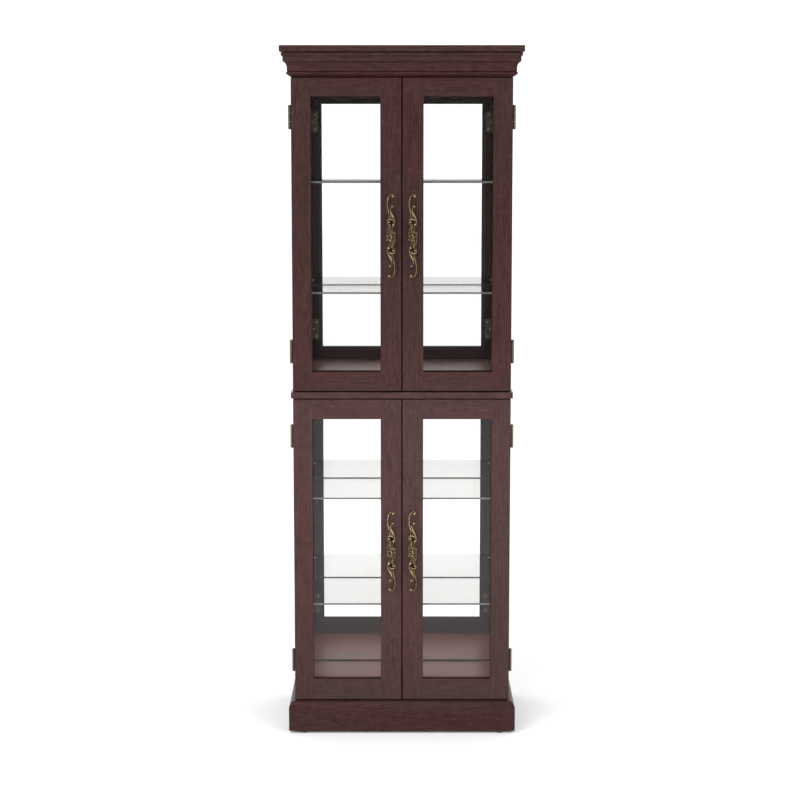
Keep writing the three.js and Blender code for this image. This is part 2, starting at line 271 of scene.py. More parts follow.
def plastic(name, dark, light):
    g = Graph(name)
    grain = g.noise(g.coordinates(), scale=1800, detail=2)
    colour = g.ramp(grain, [(0.35, dark), (0.65, light)])
    shader = g.principled(Base_Color=colour, Normal=g.bump(grain, 0.2, 0.0001))
    shader.inputs["Roughness"].default_value = 0.5
    return g.finish(shader)


def clear_glass(name, tint, share, shine_tone=1.0):
    """Float glass that lets light straight through; share scales its soft reflection."""
    g = Graph(name)
    smear = g.noise(g.coordinates(), scale=6, detail=2)
    through = g.add("ShaderNodeBsdfTransparent")
    through.inputs["Color"].default_value = tint
    shine = g.add("ShaderNodeBsdfGlossy", Roughness=g.spread(smear, 0.0, 0.02))
    shine.inputs["Color"].default_value = grey(shine_tone)
    glancing = g.math("POWER", g.add("ShaderNodeLayerWeight").outputs["Facing"], 5.0)
    rise = g.math("MULTIPLY", glancing, (1 - FACE_ON_SHINE) * share)
    shine_part = g.math("ADD", rise, FACE_ON_SHINE * share)
    return g.finish(g.blend(shine_part, through, shine))


def cut_edge(name, colour, tint):
    """The ground edge of a glass shelf: frosted from outside the pane, clear from inside it."""
    g = Graph(name)
    grind = g.noise(g.coordinates((0.2, 1, 1)), scale=900)
    tone = g.ramp(grind, [(0.3, [c * 0.85 for c in colour[:3]] + [1]), (0.7, colour)])
    frosted = g.principled(Base_Color=tone)
    frosted.inputs["Roughness"].default_value = 0.25
    frosted.inputs["Specular IOR Level"].default_value = 0.3
    clear = g.add("ShaderNodeBsdfTransparent")
    clear.inputs["Color"].default_value = tint
    inside = g.add("ShaderNodeNewGeometry").outputs["Backfacing"]
    return g.finish(g.blend(inside, frosted, clear))


def mirror_glass(name):
    g = Graph(name)
    haze = g.noise(g.coordinates(), scale=5, detail=2)
    colour = g.ramp(haze, [(0.3, grey(0.975)), (0.7, grey(0.99))])
    shader = g.principled(Base_Color=colour)
    shader.inputs["Metallic"].default_value = 1.0
    shader.inputs["Roughness"].default_value = 0.005
    return g.finish(shader)


WOOD = {axis: wood_foil(f"cherry_foil_{axis}", axis) for axis in AXES}
# the lower doors and the middle board take a lit copy of the same foil, whose stronger sheen stands in for
# the light on the lower section
DOOR_WOOD = {
    "upper": WOOD,
    "lower": {axis: wood_foil(f"cherry_foil_lower_{axis}", axis, gloss=0.22) for axis in ("x", "z")},
}
# much lighter copies of the foil for the floor panels' tops: painted light and sheen, greyer on the upper
# floor
FLOOR_SHEEN_FOIL = {
    "lower": wood_foil("cherry_foil_lower_floor_painted_sheen", "x", lift=(4.4, 3.7, 2.8), relief=0.03),
    "upper": wood_foil("cherry_foil_upper_floor_painted_sheen", "x", lift=(3.0, 3.9, 3.6), relief=0.03),
}
# a dark matt copy of the foil: painted shade on the faces where the doors meet, at the doors' ends, in the
# cornice's groove and on the mirrors' foot beads
SHADE_FOIL = wood_foil("cherry_foil_painted_shade", "z", gloss=0.0, lift=(0.32, 0.32, 0.32))
# a darker matt copy of the foil: painted shade on the edges round a door's opening
INNER_EDGE_SHADE = wood_foil("cherry_inner_edge_painted_shade", "z", gloss=0.0, lift=(0.75, 0.75, 0.75))
# the handle's light tone is a painted highlight, and its dark tone is dark patina with painted shade
BRASS = antique_brass(
    "handle_brass", srgb(26, 19, 10), srgb(84, 72, 48), srgb(182, 163, 122), cast=True)
HINGE_BRASS = antique_brass(
    "hinge_brass", srgb(22, 18, 14), srgb(58, 52, 43), srgb(94, 86, 71))
SCREW_BRASS = antique_brass(
    "screw_brass", srgb(90, 84, 74), srgb(150, 144, 132), srgb(190, 184, 170))
PANE_TINT = (0.997, 1.0, 0.999, 1)
# the lower doors' glass is a lit copy of the same glass, whose stronger reflection stands in for the light
# on the lower section
DOOR_GLASS = {
    "lower": clear_glass("lower_door_glass", PANE_TINT, share=0.52),
    "upper": clear_glass("upper_door_glass", PANE_TINT, share=0.12),
}
SIDE_GLASS = clear_glass("side_glass", PANE_TINT, share=0.75)
SHELF_TINT = (0.835, 0.835, 0.825, 1)
SHELF_GLASS = clear_glass("shelf_glass", SHELF_TINT, share=0.3, shine_tone=0.9)
SHELF_EDGE = cut_edge("shelf_edge", srgb(88, 92, 88), SHELF_TINT)
MIRROR = mirror_glass("mirror_silver")
BACK_BOARD = hardboard("back_hardboard")
STEEL = steel("bright_steel")
GLIDE = plastic("glide_plastic", srgb(38, 34, 32), srgb(52, 47, 44))
CATCH = plastic("catch_plastic", srgb(58, 42, 34), srgb(74, 55, 45))
# the beads' near-black tone is partly the plastic's own colour and partly painted shade along the panes'
# edges
BEAD = plastic("glazing_bead", srgb(24, 17, 15), srgb(33, 23, 20))


# ---------------------------------------------------------------- mesh helpers

def to_mesh(bm, name):
    mesh = bpy.data.meshes.new(name)
    bm.to_mesh(mesh)
    bm.free()
    return mesh


def link_object(name, data):
    piece = bpy.data.objects.new(name, data)
    bpy.context.scene.collection.objects.link(piece)
    return piece


def baked_mesh(piece):
    """A copy of a piece's mesh with its modifiers applied."""
    bpy.context.view_layer.update()
    graph = bpy.context.evaluated_depsgraph_get()
    return bpy.data.meshes.new_from_object(piece.evaluated_get(graph))


def new_object(name, mesh_builder, material, body):
    """A mesh piece that rides on a body and takes its finish from a slot."""
    bm = bmesh.new()
    mesh_builder(bm)
    bmesh.ops.remove_doubles(bm, verts=bm.verts, dist=1e-7)
    bmesh.ops.recalc_face_normals(bm, faces=bm.faces)
    piece = link_object(name, to_mesh(bm, name))
    piece.data.materials.append(material)
    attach(piece, body)
    return piece


def paint_faces(mesh, materials, choose):
    """Adds materials to a mesh; choose gives each face the number of its own."""
    for material in materials:
        mesh.materials.append(material)
    for polygon in mesh.polygons:
        polygon.material_index = int(choose(polygon))


def shade_smooth(mesh):
    for polygon in mesh.polygons:
        polygon.use_smooth = True


def smooth_by_angle(piece, degrees):
    shade_smooth(piece.data)
    piece.data.set_sharp_from_angle(angle=math.radians(degrees))


def soften(piece, width, segments=3, weld=False):
    """Rounds a piece's hard edges and gives it even shading; a faceted CAD mesh is welded first."""
    if weld:
        welding = piece.modifiers.new("weld", "WELD")
        welding.merge_threshold = 1e-5
    else:
        shade_smooth(piece.data)
    bevel = piece.modifiers.new("eased_edges", "BEVEL")
    bevel.width = width
    bevel.segments = segments
    bevel.limit_method = "ANGLE"
    bevel.angle_limit = math.radians(35)
    shade = piece.modifiers.new("even_shading", "WEIGHTED_NORMAL")
    shade.keep_sharp = True


def place(axis, u, v, w):
    """A point from its coordinate w along an axis and u, v across it."""
    if axis == "x":
        return Vector((w, u, v))
    if axis == "y":
        return Vector((u, w, v))
    return Vector((u, v, w))


def close_rings(bm, rings):
    """Faces between each ring of vertices and the next, and one over each end."""
    bm.faces.new(rings[0])
    bm.faces.new(list(reversed(rings[-1])))
    for first, second in zip(rings, rings[1:]):
        for i in range(len(first)):
            j = (i + 1) % len(first)
            bm.faces.new((first[i], first[j], second[j], second[i]))


def add_prism(bm, outline, axis, start, end):
    close_rings(bm, [[bm.verts.new(place(axis, u, v, w)) for u, v in outline] for w in (start, end)])


def add_box(bm, low, high):
    (x0, y0, z0), (x1, y1, z1) = low, high
    add_prism(bm, [(x0, y0), (x1, y0), (x1, y1), (x0, y1)], "z", z0, z1)


def turn_to(direction):
    """The rotation that takes +Z to a direction."""
    return Vector((0, 0, 1)).rotation_difference(Vector(direction)).to_matrix()


def add_lathe(bm, profile, centre, direction, segments=24):
    """A solid of revolution: profile is (radius, height) pairs along direction from centre."""
    turn = turn_to(direction)
    rings = []
    for radius, height in profile:
        if radius == 0:
            rings.append([bm.verts.new(Vector(centre) + turn @ Vector((0, 0, height)))])
            continue
        ring = []
        for i in range(segments):
            a = 2 * math.pi * i / segments
            ring.append(bm.verts.new(Vector(centre) + turn @ Vector(
                (radius * math.cos(a), radius * math.sin(a), height))))
        rings.append(ring)
    for first, second in zip(rings, rings[1:]):
        for i in range(segments):
            j = (i + 1) % segments
            corners = [first[i % len(first)], first[j % len(first)],
                       second[j % len(second)], second[i % len(second)]]
            unique = list(dict.fromkeys(corners))
            if len(unique) > 2:
                bm.faces.new(unique)
    for ring in (rings[0], rings[-1]):
        if len(ring) > 2:
            bm.faces.new(ring)


def add_screw(bm, centre, direction, radius):
    """A low domed head with a cross recess."""
    turn = turn_to(direction)
    dome = 0.42 * radius
    recess_arm, recess_reach, recess_depth = 0.16 * radius, 0.62 * radius, 0.3 * radius
    rings, spokes = 9, 24
    grid = []
    for ring in range(rings + 1):
        r = radius * (1 - ring / rings)
        row = []
        for s in range(spokes):
            a = 2 * math.pi * s / spokes
            x, y = r * math.cos(a), r * math.sin(a)
            z = dome * (1 - (r / radius) ** 2) ** 0.6
            if r < recess_reach and min(abs(x), abs(y)) < recess_arm:
                z -= recess_depth
            row.append(bm.verts.new(Vector(centre) + turn @ Vector((x, y, z))))
            if r == 0:
                break
        grid.append(row)
    for first, second in zip(grid, grid[1:]):
        for s in range(spokes):
            t = (s + 1) % spokes
            corners = [first[s], first[t], second[t % len(second)], second[s % len(second)]]
            bm.faces.new(list(dict.fromkeys(corners)))
    bm.faces.new(grid[0])


# ---------------------------------------------------------------- carried-over CAD nodes

def dress(node, material, bevel, segments=3):
    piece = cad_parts[node]
    piece.data.materials.clear()
    piece.data.materials.append(material)
    soften(piece, bevel, segments, weld=True)


def dress_shelf(node):
    """Clear faces above and below, ground edges all round."""
    dress(node, SHELF_GLASS, 0.5 * MM, 2)
    paint_faces(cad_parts[node].data, [SHELF_EDGE], lambda face: abs(face.normal.z) <= 0.5)


def dress_case():
    dress("cornice_top_board", WOOD["x"], 1.6 * MM, 4)
    dress("middle_board", DOOR_WOOD["lower"]["x"], 0.8 * MM)
    for node in ("front_rail", "upper_top_panel"):
        dress(node, WOOD["x"], 0.8 * MM)
    for section in SECTIONS:
        floor = f"{section}_floor_panel"
        dress(floor, WOOD["x"], 0.8 * MM)
        # the floor's top takes the lighter foil: painted light and sheen
        paint_faces(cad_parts[floor].data, [FLOOR_SHEEN_FOIL[section]], lambda face: face.normal.z > 0.5)
        dress(f"{section}_mirror", MIRROR, 0.3 * MM, 2)
        dress(f"{section}_back_panel", BACK_BOARD, 0.3 * MM, 2)
        dress(f"{section}_magnetic_catch", CATCH, 1.0 * MM)
        for level in SHELF_LEVELS:
            dress_shelf(f"{section}_{level}_glass_shelf")
        for name, _ in SIDES:
            dress(f"{section}_{name}_side_glass", SIDE_GLASS, 0.4 * MM, 2)
            dress(f"{section}_{name}_door_glass", DOOR_GLASS[section], 0.4 * MM, 2)
    for where in ("front_left", "front_right", "back_left", "back_right"):
        dress(f"foot_glide_{where}", GLIDE, 0.6 * MM)


# ---------------------------------------------------------------- door and side frames

EDGE_ROUND = 0.6 * MM
SIDE_EDGE_ROUND = 0.9 * MM
# a rail's faces lie this much behind its stiles' faces, and its ends reach this far into the stiles
SET_BACK = 0.04 * MM
TONGUE = 1.5 * MM
NEAR = 0.1 * MM


def rebated_section(low, high, front, back, glass_low):
    """A frame member's (across, depth) outline, with a rebate for the glass on one side."""
    deep = back + math.copysign(REBATE_DEPTH, front - back)
    points = [(low, front), (high, front)]
    if glass_low:
        edge = low + GLASS_REBATE
        return points + [(high, back), (edge, back), (edge, deep), (low, deep)]
    edge = high - GLASS_REBATE
    return points + [(high, deep), (edge, deep), (edge, back), (low, back)]


def opening(pane, axis):
    """A frame's opening along an axis, seen from the pane that laps behind its edges."""
    low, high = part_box(pane)
    lap = GLASS_REBATE - GLASS_CLEARANCE
    return low[AXES[axis]] + lap, high[AXES[axis]] - lap


def edge_finish(polygon, ends, open_x, open_z):
    """The finish of a door member's face: 0 for foil, 1 for the dark band of painted shade on the meeting
    and end faces, 2 for the matt inner edges in a lighter painted shade.
    """
    centre = polygon.center
    sideways, upright = abs(polygon.normal.x) > 0.5, abs(polygon.normal.z) > 0.5
    meeting_zone = 5 * MM

    def lies_on(value, limits):
        return any(abs(value - limit) < NEAR for limit in limits)
    if sideways and abs(centre.x) < meeting_zone or upright and lies_on(centre.z, ends):
        return 1
    if sideways and lies_on(centre.x, open_x) or upright and lies_on(centre.z, open_z):
        return 2
    return 0


def build_door(section, name, side):
    label = f"{section}_{name}"
    body = f"{label}_door"
    low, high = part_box(f"{label}_door_frame")
    open_x = opening(f"{label}_door_glass", "x")
    open_z = opening(f"{label}_door_glass", "z")
    meeting_x = side * MEETING_EDGE
    left_edge, right_edge = (low.x, meeting_x) if side < 0 else (meeting_x, high.x)

    def slanted(points):
        """Slants the edge where the two doors meet, so that no light shows between them."""
        slope = MEETING_BEVEL / (high.y - low.y)
        return [(x + slope * (y - low.y) if x == meeting_x else x, y) for x, y in points]

    members = []
    for where, x0, x1 in (("left", left_edge, open_x[0]), ("right", open_x[1], right_edge)):
        outline = rebated_section(x0, x1, low.y, high.y, where == "right")
        kind = "outer" if (where == "left") == (side < 0) else "meeting"
        if kind == "meeting":
            outline = slanted(outline)
        members.append((f"{kind}_stile", outline, "z", low.z, high.z))
    rails = (("bottom", low.z + SET_BACK, open_z[0]), ("top", open_z[1], high.z - SET_BACK))
    front, back = low.y + SET_BACK, high.y - SET_BACK
    for where, z0, z1 in rails:
        outline = [(y, z) for z, y in rebated_section(z0, z1, front, back, where == "top")]
        members.append((f"{where}_rail", outline, "x", open_x[0] - TONGUE, open_x[1] + TONGUE))
    corner_z = {
        "bottom_rail": (low.z + 2 * SET_BACK, open_z[0] - GLASS_REBATE),
        "top_rail": (open_z[1] + GLASS_REBATE, high.z - 2 * SET_BACK),
    }
    corner_x = ((open_x[0] - GLASS_REBATE, open_x[0] - TONGUE / 2),
                (open_x[1] + TONGUE / 2, open_x[1] + GLASS_REBATE))
    for kind, outline, axis, start, end in members:
        def member(bm):
            add_prism(bm, outline, axis, start, end)
            if kind in corner_z:
                # a rail also fills the stiles' rebates where its ends cross them
                z0, z1 = corner_z[kind]
                for x0, x1 in corner_x:
                    add_box(bm, (x0, back - REBATE_DEPTH, z0), (x1, back - SET_BACK, z1))
        piece = new_object(f"{label}_{kind}", member, DOOR_WOOD[section][axis], body)
        # the meeting and end faces get painted shade, and the edges round the opening a lighter painted
        # shade
        paint_faces(piece.data, [SHADE_FOIL, INNER_EDGE_SHADE],
                    lambda face: edge_finish(face, (low.z, high.z), open_x, open_z))
        soften(piece, EDGE_ROUND)
    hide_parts(f"{label}_door_frame")
    add_beads(label, body, f"{label}_door_glass", "y", high.y)


BEAD_THICK = 1.6 * MM
BEAD_WIDE = 7 * MM
BEAD_GAP = 0.1 * MM
SIDE_BEAD_DEPTH = 1.7 * MM


def add_beads(label, body, pane, axis, flush):
    """Four slim strips that hold a pane in its rebate, on the inner side."""
    pane_low, pane_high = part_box(pane)
    if axis == "y":
        a0, a1 = pane_low.x, pane_high.x
        depth = (flush - BEAD_THICK, flush + 0.2 * MM)
    else:
        a0, a1 = pane_low.y, pane_high.y
        depth = sorted((flush, flush + math.copysign(BEAD_THICK, pane_low.x)))
    z0, z1 = pane_low.z, pane_high.z

    def corner(a, z, d):
        return (a, d, z) if axis == "y" else (d, a, z)

    def beads(bm):
        inner0, inner1 = a0 + BEAD_WIDE, a1 - BEAD_WIDE
        spans = [((a0, z0), (inner0, z1)), ((inner1, z0), (a1, z1)),
                 ((inner0, z0), (inner1, z0 + BEAD_WIDE)), ((inner0, z1 - BEAD_WIDE), (inner1, z1))]
        for (s0, t0), (s1, t1) in spans:
            add_box(bm, corner(s0 + BEAD_GAP, t0 + BEAD_GAP, depth[0]),
                    corner(s1 - BEAD_GAP, t1 - BEAD_GAP, depth[1]))
    soften(new_object(f"{label}_glazing_beads", beads, BEAD, body), 0.4 * MM, 2)


PIN_RADIUS = 2.5 * MM
PIN_LENGTH = 9 * MM
PIN_TIP = 0.8 * MM
PIN_HOLE_RADIUS = 2.4 * MM
PIN_HOLE_DEPTH = 10 * MM
PIN_SUNK = 4 * MM
PIN_Y = {"front": CASE_FRONT + 22 * MM, "back": CASE_BACK - 22 * MM}
HOLE_STEP = 32 * MM


def pin_heights(section):
    """The centres of the pins under the two shelves of a section."""
    return [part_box(f"{section}_{level}_glass_shelf")[0].z - PIN_RADIUS for level in SHELF_LEVELS]


def cut_pin_holes(post, section, side, y):
    """Drills shelf pin holes in a side post, two above and two below each pin."""
    bm = bmesh.new()
    over = 2 * MM
    drill = [(0, 0), (PIN_HOLE_RADIUS, 0), (PIN_HOLE_RADIUS, PIN_HOLE_DEPTH + over),
             (0, PIN_HOLE_DEPTH + over)]
    for z in pin_heights(section):
        for step in (-2, -1, 1, 2):
            add_lathe(bm, drill, (side * (SIDE_INNER - over), y, z + step * HOLE_STEP), (side, 0, 0), 12)
    bmesh.ops.recalc_face_normals(bm, faces=bm.faces)
    drills = link_object("pin_hole_drills", to_mesh(bm, "pin_hole_drills"))
    cut = post.modifiers.new("pin_holes", "BOOLEAN")
    cut.object = drills
    cut.operation = "DIFFERENCE"
    cut.solver = "EXACT"
    solid = baked_mesh(post)
    post.modifiers.clear()
    post.data = solid
    bpy.data.objects.remove(drills)


def build_side(section, name, side):
    label = f"{section}_{name}"
    low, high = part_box(f"{label}_side_frame")
    open_y = opening(f"{label}_side_glass", "y")
    open_z = opening(f"{label}_side_glass", "z")

    def member(where, a0, a1, glass_low, axis, span):
        section_points = rebated_section(a0, a1, side * HALF_WIDTH, side * SIDE_INNER, glass_low)
        outline = [(x, across) for across, x in section_points]
        return new_object(f"{label}_side_{where}", lambda bm: add_prism(bm, outline, axis, *span),
                          WOOD[axis], CASE)
    pieces = []
    for where, y0, y1 in (("front", low.y, open_y[0]), ("back", open_y[1], high.y)):
        post = member(f"{where}_post", y0, y1, where == "back", "z", (low.z, high.z))
        cut_pin_holes(post, section, side, PIN_Y[where])
        pieces.append(post)
    for where, z0, z1 in (("bottom", low.z, open_z[0]), ("top", open_z[1], high.z)):
        pieces.append(member(f"{where}_rail", z0, z1, where == "top", "y", open_y))
    for piece in pieces:
        soften(piece, SIDE_EDGE_ROUND)
    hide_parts(f"{label}_side_frame")
    pane_low, pane_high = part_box(f"{label}_side_glass")
    inner_face = pane_low.x if side > 0 else pane_high.x
    add_beads(f"{label}_side", CASE, f"{label}_side_glass", "x", inner_face - side * SIDE_BEAD_DEPTH)


def add_mirror_bead(section):
    """A slim bead along the foot of a mirror, where it stands on the floor panel; its dark foil is painted
    shade along the joint.
    """
    low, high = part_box(f"{section}_mirror")
    floor_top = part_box(f"{section}_floor_panel")[1].z
    thick, tall, gap = 2 * MM, 3.4 * MM, 0.1 * MM

    def bead(bm):
        add_box(bm, (low.x, low.y - thick, floor_top), (high.x, low.y - gap, floor_top + tall))
    soften(new_object(f"{section}_mirror_bead", bead, SHADE_FOIL, CASE), 0.4 * MM, 2)


def add_shelf_pins(section):
    def pins(bm):
        profile = [(0, -PIN_SUNK), (PIN_HOLE_RADIUS, -PIN_SUNK), (PIN_HOLE_RADIUS, 0), (PIN_RADIUS, 0),
                   (PIN_RADIUS, PIN_LENGTH - PIN_TIP), (PIN_RADIUS - PIN_TIP, PIN_LENGTH), (0, PIN_LENGTH)]
        for side in (-1, 1):
            for z in pin_heights(section):
                for y in PIN_Y.values():
                    add_lathe(bm, profile, (side * SIDE_INNER, y, z), (-side, 0, 0), 20)
    soften(new_object(f"{section}_shelf_pins", pins, STEEL, CASE), 0.2 * MM, 2)


# ---------------------------------------------------------------- cornice and plinth

def arc(centre, radii, start, end, steps):
    points = []
    for i in range(steps + 1):
        a = math.radians(start + (end - start) * i / steps)
        points.append((centre[0] + radii[0] * math.cos(a), centre[1] + radii[1] * math.sin(a)))
    return points


MITRE_GAP = 0.12 * MM


def corner_station(side, gap_x=0.0, gap_y=0.0):
    """Maps a projection to (x, y) at a front corner, a little short of the mitre."""
    return lambda p: (side * (HALF_WIDTH + p - gap_x), DOOR_FRONT - p + gap_y)


def back_station(side, y):
    """Maps a projection to (x, y) at the back end of a side run."""
    return lambda p: (side * (HALF_WIDTH + p), y)


def add_mitred_runs(pattern, profile, back):
    """Sweeps a (projection, z) profile along the front and both sides; pattern names the pieces."""
    runs = (
        ("front", corner_station(-1, MITRE_GAP), corner_station(1, MITRE_GAP), WOOD["x"]),
        ("left", back_station(-1, back), corner_station(-1, 0, MITRE_GAP), WOOD["y"]),
        ("right", corner_station(1, 0, MITRE_GAP), back_station(1, back), WOOD["y"]),
    )
    pieces = {}
    for name, first, second, material in runs:
        def run(bm):
            close_rings(bm, [[bm.verts.new((*station(p), z)) for p, z in profile]
                             for station in (first, second)])
        pieces[name] = new_object(pattern.format(name), run, material, CASE)
        smooth_by_angle(pieces[name], 25)
    return pieces


def build_cornice():
    """From below: a bead, a fillet, a cove, a second fillet, a thumb moulding and a shadow groove."""
    low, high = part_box("cornice_moulding")
    base, top = low.z, high.z
    inner = -30 * MM
    foot, fillet, cove, lip = 2 * MM, 9 * MM, 19 * MM, 23 * MM
    groove_high, groove_deep = 2.4 * MM, 8 * MM
    profile = [(inner, base), (foot, base)]
    profile += arc((foot, base + 8 * MM), (9 * MM, 5 * MM), -60, 60, 16)
    profile += [(fillet, base + 13 * MM), (fillet, base + 20 * MM)]
    profile += arc((cove, base + 20 * MM), (cove - fillet, 17 * MM), 180, 90, 20)[1:]
    profile += [(cove, base + 50 * MM)]
    profile += arc((cove, base + 54 * MM), (lip - cove, 4 * MM), -80, -5, 8)
    profile += [(lip, top - groove_high), (lip - groove_deep, top - groove_high),
                (lip - groove_deep, top), (inner, top)]
    pieces = add_mitred_runs("cornice_{}_moulding", profile, high.y)
    for piece in pieces.values():
        # the groove and the top take the dark foil: painted shade
        paint_faces(piece.data, [SHADE_FOIL], lambda face: face.center.z > top - groove_high - NEAR)
    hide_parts("cornice_moulding")


def build_plinth():
    low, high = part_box("plinth_front")
    thick = DOOR_FRONT - low.y
    round_wide, round_high, chamfer = 13 * MM, 20 * MM, 1 * MM
    profile = [(0, low.z), (thick - chamfer, low.z), (thick, low.z + chamfer)]
    profile += arc((thick - round_wide, high.z - round_high), (round_wide, round_high), 0, 90, 24)
    profile += [(0, high.z)]
    pieces = add_mitred_runs("plinth_{}_board", profile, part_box("plinth_left")[1].y)
    for name, piece in pieces.items():
        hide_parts(f"plinth_{name}")


# ---------------------------------------------------------------- hinges

HINGE_THICK = 1.4 * MM
HINGE_GAP = 0.3 * MM
MIDDLE_KNUCKLE = 11 * MM
KNUCKLE_EDGE = 0.5 * MM
LEAF_CORNER = 3 * MM
LEAF_LIFT = 0.1 * MM
LEAF_CLEARANCE = 0.4 * MM
# the web that joins a knuckle to its leaf: its lap on the leaf and its distance from the pin's axis
WEB_LAP = 1 * MM
WEB_END = 2 * MM
HINGE_SCREW_RADIUS = 3.1 * MM
HINGE_SCREW_SUNK = 0.2 * MM
# (from the leaf's inner edge, from the hinge's middle)
HINGE_SCREWS = ((7 * MM, -21 * MM), (7 * MM, 21 * MM), (15 * MM, 0))


def build_hinge(label, side, door_body):
    """Two leaves with three knuckles, a pin with low domed ends and three screws in the door's leaf."""
    case_low, case_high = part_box(f"{label}_case_leaf")
    door_low_corner, door_high_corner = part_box(f"{label}_door_leaf")
    z0, z1 = case_low.z, case_high.z
    centre_z = (z0 + z1) / 2
    outer = max(abs(case_low.x), abs(case_high.x))
    radius = (case_high.y - case_low.y) / 2
    pin_x, pin_y = side * (outer - radius), (case_low.y + case_high.y) / 2

    def knuckle(bm, low, high):
        profile = [(0, low), (radius - KNUCKLE_EDGE, low), (radius, low + KNUCKLE_EDGE),
                   (radius, high - KNUCKLE_EDGE), (radius - KNUCKLE_EDGE, high), (0, high)]
        add_lathe(bm, profile, (pin_x, pin_y, 0), (0, 0, 1), 28)

    def leaf(x_in, y0, y1, knuckles, tip):
        def build(bm):
            r = LEAF_CORNER
            x_out = pin_x - side * (radius + LEAF_CLEARANCE)
            outline = [(x_out, z0), (x_out, z1)]
            for start, corner_z in ((0.5, z1 - r), (1, z0 + r)):
                for i in range(7):
                    a = math.pi * (start + i / 12)
                    outline.append((x_in + side * (r + r * math.cos(a)), corner_z + r * math.sin(a)))
            add_prism(bm, outline, "y", y0, y1)
            for low, high in knuckles:
                knuckle(bm, low, high)
                web = sorted((x_out - side * WEB_LAP, pin_x - side * WEB_END))
                add_box(bm, (web[0], y0, low), (web[1], y1, high))
            if tip:
                dome = [(0, 0), (radius * 0.8, 0), (radius * 0.7, 0.8 * MM), (radius * 0.4, 1.2 * MM),
                        (0, 1.3 * MM)]
                add_lathe(bm, dome, (pin_x, pin_y, z1), (0, 0, 1), 24)
                add_lathe(bm, dome, (pin_x, pin_y, z0), (0, 0, -1), 24)
        return build

    door_edge = door_low_corner.x if side > 0 else door_high_corner.x
    case_edge = case_low.x if side > 0 else case_high.x
    door_y = (DOOR_BACK + LEAF_LIFT, DOOR_BACK + LEAF_LIFT + HINGE_THICK)
    case_y = (CASE_FRONT - LEAF_LIFT - HINGE_THICK, CASE_FRONT - LEAF_LIFT)
    middle = (centre_z - MIDDLE_KNUCKLE, centre_z + MIDDLE_KNUCKLE)
    ends = [(z0, middle[0] - HINGE_GAP), (middle[1] + HINGE_GAP, z1)]
    door_piece = new_object(f"{label}_door_side", leaf(door_edge, *door_y, [middle], False),
                            HINGE_BRASS, door_body)
    case_piece = new_object(f"{label}_case_side", leaf(case_edge, *case_y, ends, True),
                            HINGE_BRASS, CASE)
    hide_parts(f"{label}_door_leaf")
    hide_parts(f"{label}_case_leaf")

    def door_screws(bm):
        for out, dz in HINGE_SCREWS:
            spot = (side * (abs(door_edge) + out), door_y[1] - HINGE_SCREW_SUNK, centre_z + dz)
            add_screw(bm, spot, (0, 1, 0), HINGE_SCREW_RADIUS)
    screws = new_object(f"{label}_door_screws", door_screws, SCREW_BRASS, door_body)
    for piece in (door_piece, case_piece, screws):
        smooth_by_angle(piece, 35)


# ---------------------------------------------------------------- pull handles

def spline(points, steps):
    """Catmull-Rom through rows of numbers."""
    rows = [points[0], *points, points[-1]]
    result = []
    for i in range(1, len(rows) - 2):
        for s in range(steps):
            t = s / steps
            result.append([
                0.5 * (2 * b + (c - a) * t + (2 * a - 5 * b + 4 * c - d) * t * t
                       + (3 * b - a - 3 * c + d) * t ** 3)
                for a, b, c, d in zip(rows[i - 1], rows[i], rows[i + 1], rows[i + 2])])
    result.append(list(points[-1]))
    return result


# the bow of the handle, in mm: straight in the middle, then bent back towards its tips
BOW_STRAIGHT = 55
BOW_BEND = 52
BOW_STAND_OFF = 19
BOW_DROP = 10
TUBE_STEPS = 8
TUBE_SIDES = 12


def handle_depth(z):
    """How far the handle's middle stands in front of the door at a height z from its centre, in mm."""
    t = max(0.0, (abs(z) - BOW_STRAIGHT) / BOW_BEND)
    return BOW_STAND_OFF - BOW_DROP * min(1.0, t) ** 1.6


def add_tube(bm, rows, flatten=0.8):
    """A tube through rows of (x, z, lift, radius) in mm; lift brings it forward."""
    path = spline(rows, TUBE_STEPS)
    centres = [Vector((x, -(handle_depth(z) + lift), z)) * MM for x, z, lift, _ in path]
    forward = Vector((0, -1, 0))
    rings = []
    for i, (centre, row) in enumerate(zip(centres, path)):
        ahead = centres[min(i + 1, len(centres) - 1)] - centres[max(i - 1, 0)]
        along = ahead.normalized()
        across = along.cross(forward).normalized()
        up = across.cross(along).normalized()
        r = row[3] * MM
        ring = []
        for k in range(TUBE_SIDES):
            a = 2 * math.pi * k / TUBE_SIDES
            offset = across * (r * math.cos(a)) + up * (r * flatten * math.sin(a))
            ring.append(bm.verts.new(centre + offset))
        rings.append(ring)
    close_rings(bm, rings)


def add_ball(bm, x, z, lift, radius):
    matrix = Matrix.Translation(Vector((x, -(handle_depth(z) + lift), z)) * MM)
    bmesh.ops.create_icosphere(bm, subdivisions=3, radius=radius * MM, matrix=matrix)


